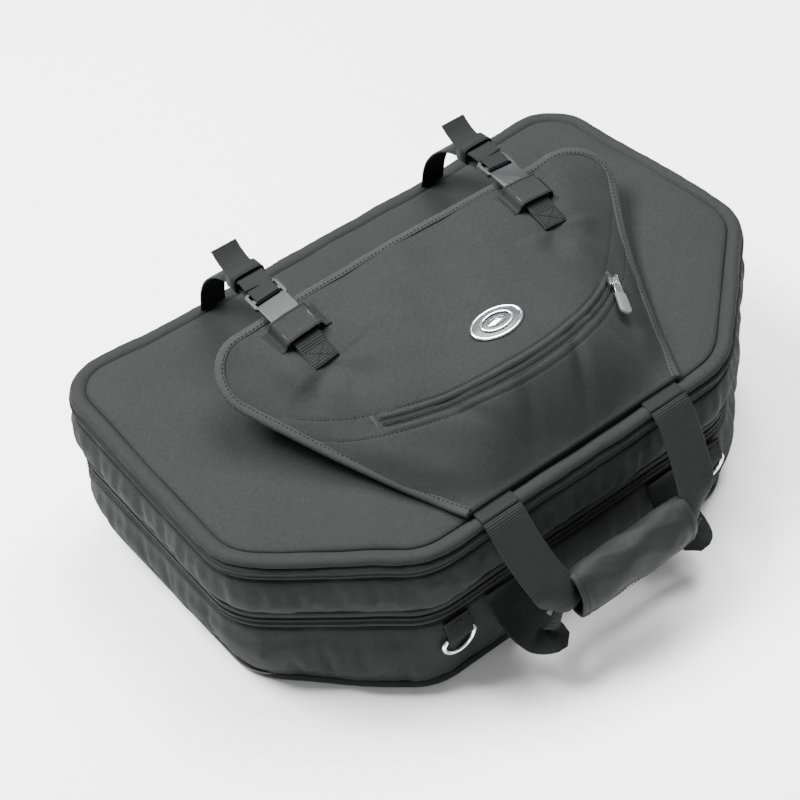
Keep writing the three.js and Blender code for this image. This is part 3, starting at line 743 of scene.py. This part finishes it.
def flap_frame(x, d):
    """A point on the flap's top face, with its side, back and outward directions."""
    out = flap_normal(x, d)
    back = unit(flap_point(x, d + 1) - flap_point(x, d - 1))
    return flap_point(x, d, FLAP_T), np.cross(back, out), back, out


def flap_grid(columns, near, far_front, far_rear):
    """Sheet points that crowd along the pocket's arc: arrays x and d, shaped (rows, columns)."""
    u = np.linspace(-1, 1, columns)
    arc = 50 + 44 * np.abs(u * 148 / POCKET_HALF) ** 2.2
    start = np.linspace(0, 1, far_front)[:, None] * (arc - 12.5)[None]
    middle = arc[None] + np.linspace(-12, 14, near)[:, None]
    t = np.linspace(0, 1, far_rear + 1)[1:, None]
    end = (arc + 14)[None] + (t + 0.25 * t * (1 - t)) * (FLAP_LENGTH - arc - 14)[None]
    d = np.vstack([start, middle, end])
    return u[None] * flap_half_width(d), d


def flap_panel():
    """The padded flap, with its creases and the recess for the pocket zip."""
    x, d = flap_grid(201, 53, 26, 70)
    crease = flap_creases(x, d)
    top = flap_point(x, d, FLAP_T) + flap_normal(x, d) * (crease + pocket_relief(x, d))[..., None]
    under = (flap_point(x, d, 0.6) + flap_normal(x, d) * crease[..., None])[:, ::-1]
    obj = grid("flap_cover", np.concatenate([top, under], axis=1), "fabric", "flap", ["flap_panel"],
               join_columns=True, caps=True)
    recalculate(obj)
    return obj


def flap_edge(step=2.5):
    """The free edge as x, d pairs, from the left end of the seam round to the right end."""
    angle = np.linspace(-SIDE_ANGLE, math.pi / 2, 16)
    corner = np.stack([CORNER_X + FLAP_RADIUS * np.cos(angle), CORNER_D + FLAP_RADIUS * np.sin(angle)], 1)
    right = np.vstack([[FLAP_FRONT_HALF, 0], corner])
    return resample(np.vstack([right * [-1, 1], right[::-1]]), step)


def flap_binding():
    """The folded tape over the flap's free edge, and its row of stitches."""
    edge = flap_edge()
    x, d = edge[:, 0], edge[:, 1]
    middle = flap_point(x, d, FLAP_T / 2) + flap_normal(x, d) * (flap_creases(x, d) * 0.6)[:, None]
    along = tangents(middle)
    normal = flap_normal(x, d)
    out = unit(np.cross(along, normal)) * -1
    if out[len(out) // 2, 1] < 0:
        out = -out
    section = [(-5.6, 2.3), (-5.2, 2.8), (-3, 3.0), (0.3, 2.8), (1.9, 2.1), (2.7, 0.8), (2.8, -0.6), (2.0, -1.9),
               (0.3, -2.6), (-3, -2.8), (-5.4, -2.5), (-5.6, 0)]
    rows = np.stack([middle + out * a + normal * b for a, b in section], 1)
    obj = grid("flap_edge_binding", rows, "trim", "flap", ["flap_binding"], join_columns=True, caps=True)
    recalculate(obj)
    stitches("flap_binding_stitching", middle + out * -3.4 + normal * 3.0, normal, "flap", pitch=3.8, length=2.4)


def pocket_zip():
    """The pocket's zip, its teeth, stitch rows and end stops."""
    x = np.linspace(-(POCKET_HALF - 4), POCKET_HALF - 4, 170)
    d = pocket_station(x)
    normal = flap_normal(x, d)
    centre = flap_point(x, d, FLAP_T) + normal * (flap_creases(x, d) - 0.9)[:, None]
    along = tangents(centre)
    side = np.cross(normal, along)
    obj = ribbon("pocket_zip_web", centre, side, 9.0, 0.7, "tape", "flap", ["pocket_zip_tape"])
    for name, sign, shift in (("front", -1, 0.0), ("rear", 1, 0.5)):
        packed = resample(np.hstack([centre, side, normal, along]), 1.9)
        packed = packed[:-1] + shift * np.diff(packed, axis=0)
        c, s, n, t = packed[:, :3], unit(packed[:, 3:6]), unit(packed[:, 6:9]), unit(packed[:, 9:])
        tooth_blocks(f"pocket_zip_{name}_teeth", c + s * (sign * 1.6) + n * 0.25, t, n, s * -sign, 1.8, "flap")
    x = np.linspace(-(POCKET_HALF + 40), POCKET_HALF + 40, 260)
    for name, shift in (("rear", 10.4), ("front", -9.6)):
        d = pocket_station(x) + shift
        keep = np.abs(x) < flap_half_width(d) - 9
        n = flap_normal(x, d)[keep]
        path = (flap_point(x, d, FLAP_T) + flap_normal(x, d) * (flap_creases(x, d) - 0.4)[:, None])[keep]
        stitches(f"pocket_{name}_stitching", path, n, "flap")
    for side_sign in (-1, 1):
        x0 = side_sign * (POCKET_HALF - 1)
        d0 = pocket_station(x0)
        line = np.linspace(-8, 9, 12)
        n = flap_normal(x0 + 0 * line, d0 + line)
        path = flap_point(x0 + 0 * line, d0 + line, FLAP_T) + n * 0.6
        name = "left" if side_sign < 0 else "right"
        across = tangents(path)[:, [1, 0, 2]] * [1, -1, 1]
        ribbon(f"pocket_zip_stop_{name}", path, across, 3.2, 1.0, "trim", "flap")
    return obj


def badge():
    """An oval badge: polished rim, dark face, a raised ring and a boss."""
    _, side, back, out = flap_frame(0.0, 96.0)
    centre = (box("badge_rim")[0] + box("badge_rim")[1]) / 2
    angle = np.linspace(0, 2 * math.pi, 72, endpoint=False)
    rim = []
    for k in range(14):
        a = 2 * math.pi * k / 14
        swell = 1.7 * math.cos(a)
        rise = 1.35 * math.sin(a)
        rx, ry = 23.4 + swell, 13.9 + swell
        ring = centre + np.outer(rx * np.cos(angle), side) + np.outer(ry * np.sin(angle), back) + out * rise
        rim.append(ring)
    recalculate(grid("badge_rim_polished", np.array(rim), "chrome", "flap", ["badge_rim"], join_rows=True,
                     join_columns=True))
    face = []
    scales = (1.0, 0.97, 0.85, 0.65, 0.4, 0.15, 0.02)
    for scale in scales:
        rise = 0.2 + 1.1 * (1 - scale ** 2)
        face.append(centre + np.outer(22.2 * scale * np.cos(angle), side)
                    + np.outer(12.7 * scale * np.sin(angle), back) + out * rise)
    back_face = [ring - out * (1.6 + 1.1 * (1 - s ** 2)) for ring, s in zip(face[::-1], scales[::-1])]
    recalculate(grid("badge_face", np.array(face + back_face), "enamel", "flap", ["badge_plate"],
                     join_columns=True))
    ring = []
    for k in range(12):
        a = 2 * math.pi * k / 12
        rx, ry = 22.0 * 0.66 + 1.1 * math.cos(a), 12.6 * 0.66 + 1.1 * math.cos(a)
        rise = 1.3 + 0.9 * (1 - 0.66 ** 2) + 0.7 * math.sin(a)
        ring.append(centre + np.outer(rx * np.cos(angle), side) + np.outer(ry * np.sin(angle), back) + out * rise)
    recalculate(grid("badge_ring", np.array(ring), "chrome", "flap", join_rows=True, join_columns=True))
    boss = [centre + np.outer(9.0 * k * np.cos(angle), side) + np.outer(4.4 * k * np.sin(angle), back)
            + out * (1.7 + 1.5 * (1 - k * k)) for k in (1.0, 0.92, 0.75, 0.5, 0.25, 0.02)]
    boss += [row - out * 1.2 for row in boss[::-1]]
    recalculate(grid("badge_boss", np.array(boss), "chrome", "flap", join_columns=True, caps=True))


# ---- buckles, tabs and rear straps -------------------------------------------------------
def box_stitching(name, path, side, normal, width, body):
    """A stitched rectangle with a cross in it, at the end of a webbing tab. path runs along the tab."""
    side = np.broadcast_to(side, path.shape)
    normal = np.broadcast_to(normal, path.shape)
    n = len(path)
    half = width / 2 - 2.2
    t = np.linspace(-1, 1, n)[:, None]
    lines = [path + side * half, path - side * half, path + side * half * t, path - side * half * t]
    for k in (0, -1):
        span = np.linspace(-half, half, 10)[:, None]
        lines.append(path[k] + side[k] * span)
    merged = []
    for k, line in enumerate(lines):
        normals = normal if len(line) == n else np.broadcast_to(normal[0 if k == 4 else -1], line.shape)
        merged.append(stitches(f"{name}_{k + 1}", line, normals, body, pitch=2.4, length=1.8, radius=0.3))
    return join_pieces(name, merged, body)


def join_pieces(name, objects, body):
    """Makes one piece of several meshes that ride together."""
    vertices, faces, start = [], [], 0
    for obj in objects:
        vertices += [v.co[:] for v in obj.data.vertices]
        faces += [[v + start for v in p.vertices] for p in obj.data.polygons]
        start = len(vertices)
    mesh = bpy.data.meshes.new(name)
    mesh.from_pydata(vertices, [], faces)
    mesh.uv_layers.new(name="cut")
    mesh.materials.append(objects[0].data.materials[0])
    mesh.polygons.foreach_set("use_smooth", [True] * len(mesh.polygons))
    for obj in objects:
        bpy.data.objects.remove(obj)
    made = bpy.data.objects.new(name, mesh)
    bpy.context.scene.collection.objects.link(made)
    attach(made, body)
    return made


def buckle(name, x):
    """One buckle, with its keeper, front tab, rear strap, adjuster, tail and elastic loop."""
    at, side, back, out = flap_frame(x, BUCKLE_D)
    strap = f"strap_{name}"

    def place(along, rise):
        return at + back * along + out * rise

    bevelled(f"buckle_socket_{name}", "plastic", 1.1)
    bevelled(f"buckle_plug_{name}", "plastic", 0.7)

    # the keeper: a fabric bridge stitched down at both sides
    half = spline([(0, 0, 10.7), (9, 0, 10.6), (14.2, 0, 10.3), (17.0, 0, 8.4), (18.3, 0, 5.2), (19.6, 0, 2.6),
                   (21.8, 0, 1.5), (25.2, 0, 1.2)], 0.9)
    arch = np.vstack([half[::-1] * [-1, 1, 1], half[1:]])
    stations = np.linspace(-15.5, 10.0, 18)
    rows = []
    for along in stations:
        end = abs(along + 2.75) / 12.75
        sag = -0.5 * (1 - end ** 2) + 0.5 * end ** 4
        crease = 0.3 * np.sin(0.35 * arch[:, 0] + 0.22 * along)
        high = smoothstep(4, 9, arch[:, 2])
        rows.append(at + np.outer(arch[:, 0] * (1 + 0.02 * end ** 3), side) + back * along
                    + np.outer(arch[:, 2] + (sag + crease) * high, out))
    rows = np.array(rows)
    shell = np.concatenate([rows, (rows - out * 1.2)[:, ::-1]], axis=1)
    keeper = grid(f"buckle_keeper_{name}_cover", shell, "fabric", "flap", [f"buckle_keeper_{name}"],
                  join_columns=True, caps=True)
    recalculate(keeper)
    lines = []
    for k, edge in enumerate((-23.4, -21.6, 21.6, 23.4)):
        path = np.array([at + side * edge + back * a + out * 1.75 for a in np.linspace(-14.5, 9.0, 12)])
        lines.append(stitches(f"keeper_{name}_row_{k}", path, out, "flap", pitch=2.2, length=1.6, radius=0.34))
    for k, along in enumerate((-14.2, 8.8)):
        path = rows[1 if k == 0 else -2][6:-6] + out * 0.15
        lines.append(stitches(f"keeper_{name}_hem_{k}", path, out, "flap", pitch=2.2, length=1.6, radius=0.3))
    join_pieces(f"buckle_keeper_{name}_stitching", lines, "flap")

    # the flap's own tab, folded through the socket and sewn down in front
    ground = [flap_point(x, dd, FLAP_T) + flap_normal(x, dd) * (flap_creases(np.array(x), np.array(dd)) + 1.3)
              for dd in (160.5, 166, 172, 177)]
    path = spline([*ground, place(-19.5, 3.6), place(-14, 4.6), place(-10, 4.8)], 1.2)
    tab = ribbon(f"flap_tab_{name}_web", path, side, WEB, 2.2, "webbing", "flap", [f"flap_tab_{name}"])
    sewn = path[1:15]
    sewing = box_stitching(f"flap_tab_{name}_stitching", sewn + out * 1.15, side, out, WEB, "flap")

    # the rear strap, threaded round the adjuster bar
    bar = place(37, 5.5)
    anchor = np.array([x, REAR_Y - 8, LID_TOP_Z + 3.0])
    run = [place(37, 3.0) + out * -0.4, (x, 96, bar[2] - 4.2), (x, 116, bar[2] - 6), (x, 136, bar[2] - 15),
           (x, 152, bar[2] - 31), (x, 162, bar[2] - 50), anchor]
    rear = ribbon(f"rear_strap_{name}_web", spline(run, 2.0), (1, 0, 0), WEB, 1.9, "webbing", strap,
                  [f"rear_strap_{name}"])
    wrap = []
    for a in np.linspace(-0.5 * math.pi, 0.5 * math.pi, 9):
        wrap.append(bar - back * (2.6 * math.cos(a)) + out * (2.9 * math.sin(a)))
    over = [*wrap, place(41, 8.2), place(49, 8.6)]
    wrap = ribbon(f"adjuster_wrap_{name}", spline(over, 1.0), side, WEB - 3, 1.6, "webbing", strap)
    tail = [place(47, 8.5), (x, 96, bar[2] + 5.6), (x, 106, bar[2] + 4), (x, 117, bar[2] + 5),
            (x, 126, bar[2] + 9), (x, 134, bar[2] + 15)]
    end = ribbon(f"strap_tail_{name}_web", spline(tail, 1.5), (1, 0.05, 0), WEB, 1.9, "webbing", strap,
                 [f"strap_tail_{name}"])
    loop_back = unit(np.array([0, 1, -0.06]))
    loop_out = np.cross([1, 0, 0], loop_back)
    centre = np.array([x, 105, at[2] + 11.2])
    ring = []
    for a in np.linspace(0, 2 * math.pi, 40, endpoint=False):
        c, s = math.cos(a), math.sin(a)
        wide, tall = 14.4 * np.sign(c) * abs(c) ** 0.35, 8.0 * np.sign(s) * abs(s) ** 0.45
        ring.append(centre + np.array([1, 0, 0]) * wide + loop_out * tall)
    ring = np.array(ring)
    rows = []
    outwards = unit(ring - centre)
    for w, t in [(-6, 0), (-6, 0.9), (6, 0.9), (6, 0)]:
        rows.append(ring + loop_back * w + outwards * t)
    recalculate(grid(f"tail_loop_{name}_elastic", np.array(rows), "webbing", strap, [f"tail_loop_{name}"],
                     join_rows=True, join_columns=True))


# ---- handle ------------------------------------------------------------------------------
def grip_ring(x, y, z, depth, height, angle, lean=0.35):
    """One oval section of the grip, which leans with its top towards the bag."""
    a, b = depth * np.cos(angle), height * np.sin(angle)
    return np.column_stack([np.full(len(angle), x), y + a * math.cos(lean) + b * math.sin(lean),
                            z - a * math.sin(lean) + b * math.cos(lean)])


def handle():
    """Both webbing loops and the padded grip."""
    grip_low, grip_high = box("handle_grip")
    gy, gz = (grip_low[1] + grip_high[1]) / 2, (grip_low[2] + grip_high[2]) / 2
    half = grip_high[0] - 5.0
    for sign, name in ((-1, "left"), (1, "right")):
        sewn = np.array([(sign * HANDLE_X, y, LID_TOP_Z + z)
                         for y, z in [(-160, 3.9), (-167, 3.4), (-175.2, 2.9)]])
        anchor = ribbon(f"handle_anchor_web_{name}", spline(sewn, 2.0), (1, 0, 0), HANDLE_WEB, 2.0, "webbing", "lid",
                        [f"handle_anchor_{name}"])
        path = spline([(sign * HANDLE_X, -175.4, gz + 73.6), (sign * HANDLE_X, -180.5, gz + 70.7),
                       (sign * 88.5, -188, gz + 62), (sign * 86.5, -200, gz + 47), (sign * 83, -213, gz + 31),
                       (sign * 78, -224.5, gz + 17), (sign * 71.5, -231.5, gz + 6), (sign * 65, -233.5, gz + 0.5),
                       (sign * 55, -231, gz - 1), (sign * 40, -229, gz)], 2.0)
        t = np.linspace(0, 1, len(path))[:, None]
        turn = smoothstep(0.5, 0.84, t)
        side = np.array([1.0, 0, 0]) * (1 - turn) + np.array([sign * 0.1, 0.25, 1.0]) * turn * -sign
        width = HANDLE_WEB * (1 - 0.3 * smoothstep(0.6, 0.88, t[:, 0]))
        upper = ribbon(f"handle_upper_web_{name}", path, side, width, 2.0, "webbing", "upper_handle",
                       ["handle_upper_strap"], cup=1.1 * smoothstep(0.5, 0.85, t[:, 0]))
        path = spline([(sign * HANDLE_X, FRONT_Y - 1.2, gz - 12), (sign * HANDLE_X, FRONT_Y - 2.0, gz - 20),
                       (sign * 88, -187, gz - 33), (sign * 86, -202, gz - 44), (sign * 83, -216, gz - 46),
                       (sign * 78, -224, gz - 39), (sign * 71, -223, gz - 30), (sign * 60, -217, gz - 25.5),
                       (sign * 45, -211, gz - 24), (0, -207.5, gz - 24)], 2.0)
        t = np.linspace(0, 1, len(path))[:, None]
        turn = smoothstep(0.32, 0.55, t)
        side = np.array([1.0, 0, 0]) * (1 - turn) + np.array([sign * 0.1, 0.0, 1.0]) * turn * -sign
        width = HANDLE_WEB * (1 - 0.4 * smoothstep(0.35, 0.6, t[:, 0]))
        lower = ribbon(f"handle_lower_web_{name}", path, side, width, 2.0, "webbing", "lower_handle",
                       ["handle_lower_strap"], cup=0.6 * smoothstep(0.3, 0.55, t[:, 0]))

    # the grip: a padded wrap, closed along a lapped seam low on its outer side
    columns = 72
    angle = np.linspace(0, 2 * math.pi, columns, endpoint=False)
    seam = math.radians(238)
    gap = (angle - seam + math.pi) % (2 * math.pi) - math.pi
    lap = 1.5 * np.where(gap > 0, np.exp(-gap / 0.9), 0) - 0.5 * np.exp(-(gap / 0.07) ** 2)
    rows = []
    xs = np.concatenate([[-half - 0.5, -half - 1.2, -half - 0.6], np.linspace(-half + 2, half - 2, 56),
                         [half + 0.6, half + 1.2, half + 0.5]])
    shrink = np.concatenate([[-3.4, -1.6, -0.4], np.zeros(56), [-0.4, -1.6, -3.4]])
    for x, s in zip(xs, shrink):
        hem = -0.55 * (math.exp(-((abs(x) - half + 9) / 1.2) ** 2))
        pinch = -1.0 * smoothstep(half - 16, half, abs(x))
        crinkle = 0.35 * np.sin(3 * angle + x * 0.09) + 0.3 * np.sin(5 * angle - x * 0.16 + 1)
        fullness = s + hem + pinch + lap + crinkle
        droop = -0.8 * math.cos(x / half * math.pi / 2)
        rows.append(grip_ring(x, gy, gz + droop, 15.4 + fullness, 21.5 + fullness, angle))
    inner = [grip_ring(x, gy, gz - 0.4, 11.2, 17.0, angle) for x in np.linspace(half - 1, -half + 1, 6)]
    grip = grid("handle_grip_wrap", np.array(rows + inner), "grip", "upper_handle", ["handle_grip"],
                join_rows=True, join_columns=True)
    recalculate(grip)
    free = np.zeros(len(grip.data.vertices))
    free[6 * columns:(len(rows) - 6) * columns] = 1
    swell(grip, free, 1.5, 0.002, 0.9)
    lines = []
    for k, x in enumerate((-half + 4.5, half - 4.5)):
        row = rows[int(np.argmin(np.abs(xs - x)))]
        normals = unit(row - row.mean(0))
        lines.append(stitches(f"grip_row_{k}", row, normals, "upper_handle", closed=True))
    at = int(np.argmin(np.abs(angle - seam - 0.2)))
    row = np.array([r[at] for r in rows[6:-6]])
    normals = unit(row - np.array([r.mean(0) for r in rows[6:-6]]))
    lines.append(stitches("grip_row_seam", row, normals, "upper_handle"))
    join_pieces("handle_grip_stitching", lines, "upper_handle")


# ---- lashing rings and zip pulls ---------------------------------------------------------
def lashing_rings():
    """Four rings, each in a folded webbing tab."""
    for end, facing in (("front", -1), ("rear", 1)):
        for name in ("left", "right"):
            low, high = box(f"lashing_ring_{end}_{name}")
            centre = (low + high) / 2
            top = high[2] - 2.0
            loop = [(13 - k * 2.6, 0) for k in range(11)]
            bend = [math.pi * (1 + k / 24) for k in range(25)]
            loop += [(15.8 * math.cos(a), -4.5 + 15.2 * math.sin(a)) for a in bend]
            path = resample(np.array([[centre[0] + a, centre[1], top + b] for a, b in loop]), 1.5, closed=True)
            rod(f"lashing_ring_{end}_{name}_wire", path, 2.0, "chrome", f"ring_{end}_{name}",
                [f"lashing_ring_{end}_{name}"], closed=True, sides=14, normal=(0, 1, 0))
            wall = FRONT_Y if facing < 0 else REAR_Y
            bar_y = centre[1]
            fold = [(centre[0], y, top + rise) for y, rise in [
                (wall + facing * 2.4, 19.5), (wall + facing * 3.6, 14), (bar_y + facing * 0.8, 8),
                (bar_y + facing * 3.0, 2.5), (bar_y + facing * 2.9, -1.8), (bar_y, -3.4),
                (bar_y - facing * 2.6, -1.4), (bar_y - facing * 3.0, 4), (wall + facing * 1.4, 11)]]
            tab = ribbon(f"ring_tab_{end}_{name}_web", spline(fold, 1.0), (1, 0, 0), WEB, 1.5, "webbing", "base",
                   [f"ring_tab_{end}_{name}"])
            sewn = np.array([[centre[0], wall + facing * (5.2 - 0.08 * k), top + 18.5 - k] for k in range(8)])
            sewing = box_stitching(f"ring_tab_{end}_{name}_stitching", sewn, np.array([1.0, 0, 0]),
                                   np.array([0, facing, 0.2]), WEB, "base")


def zip_pulls():
    """The sliders, pulls and grips of the three zips."""
    for zip_name in ("pocket", "middle", "upper"):
        bevelled(f"{zip_name}_zip_slider", "chrome", 0.5)
        bevelled(f"{zip_name}_zip_pull", "chrome", 0.35)
        bevelled(f"{zip_name}_zip_pull_grip", "rubber", 0.8)


def boards():
    """The two stiffener boards, seen when the case is open."""
    for node in ("base_board", "lid_board"):
        obj = frame["nodes"][node]
        obj.data.materials.clear()
        obj.data.materials.append(M["board"])


# ---- stage -------------------------------------------------------------------------------
CAMERA_AZIMUTH, CAMERA_ELEVATION, CAMERA_ROLL = -37.7, 46.4, -2.7
CAMERA_DISTANCE, CAMERA_LENS = 1.738, 90.0
CAMERA_TARGET = Vector((0, 0, 0.09))
CAMERA_SHIFT = (-0.061, 0.005)


def plain_material(name, color, roughness):
    g = Graph(name, color, roughness)
    g.vary_roughness(g.noise(3.0), roughness - 0.05, roughness + 0.05)
    return g.material


def stage():
    """A pale floor, soft studio lights and the camera."""
    mesh = bpy.data.meshes.new("floor")
    size = 12.0
    corners = [(-size, -size, -0.0006), (size, -size, -0.0006), (size, size, -0.0006), (-size, size, -0.0006)]
    mesh.from_pydata(corners, [], [(0, 1, 2, 3)])
    mesh.materials.append(plain_material("studio_floor", (0.94, 0.94, 0.94), 0.7))
    floor = bpy.data.objects.new("floor", mesh)
    bpy.context.scene.collection.objects.link(floor)
    world = bpy.data.worlds.new("studio")
    world.use_nodes = True
    world.node_tree.nodes["Background"].inputs["Color"].default_value = (1, 1, 1, 1)
    world.node_tree.nodes["Background"].inputs["Strength"].default_value = 0.34
    bpy.context.scene.world = world
    for name, power, size, place in (("key", 235, 1.1, (-1.0, 0.9, 2.3)), ("top", 215, 1.6, (0.8, 0.5, 2.7)),
                                     ("fill", 15, 1.2, (-1.4, -2.2, 0.9))):
        light = bpy.data.lights.new(name, "AREA")
        light.energy, light.size = power, size
        obj = bpy.data.objects.new(name, light)
        obj.location = place
        obj.rotation_euler = (Vector((0, 0, 0.1)) - Vector(place)).to_track_quat("-Z", "Y").to_euler()
        bpy.context.scene.collection.objects.link(obj)
    data = bpy.data.cameras.new("camera")
    data.lens = CAMERA_LENS
    data.shift_x, data.shift_y = CAMERA_SHIFT
    camera = bpy.data.objects.new("camera", data)
    a, e = math.radians(CAMERA_AZIMUTH), math.radians(CAMERA_ELEVATION)
    back = Vector((math.sin(a) * math.cos(e), -math.cos(a) * math.cos(e), math.sin(e)))
    camera.location = CAMERA_TARGET + back * CAMERA_DISTANCE
    turn = (-back).to_track_quat("-Z", "Y").to_matrix() @ Matrix.Rotation(math.radians(CAMERA_ROLL), 3, "Z")
    camera.rotation_euler = turn.to_euler()
    bpy.context.scene.collection.objects.link(camera)
    bpy.context.scene.camera = camera


stage()
lower_case()
upper_case()
lid()
gusset("middle_zip_gusset",
       [(REAR_Y - 7.6, SPLIT_Z - 14), (REAR_Y - 7.8, SPLIT_Z), (REAR_Y - 7.6, SPLIT_Z + 14)])
gusset("upper_zip_gusset",
       [(REAR_Y - 7.6, LID_Z - 16), (REAR_Y - 8.2, LID_Z - 4), (REAR_Y - 11.5, LID_Z + 3),
        (REAR_Y - 19, LID_Z + 4.6)])
flap_panel()
flap_binding()
pocket_zip()
badge()
for buckle_name, sign in (("left", -1), ("right", 1)):
    buckle(buckle_name, sign * BUCKLE_X)
handle()
lashing_rings()
zip_pulls()
boards()
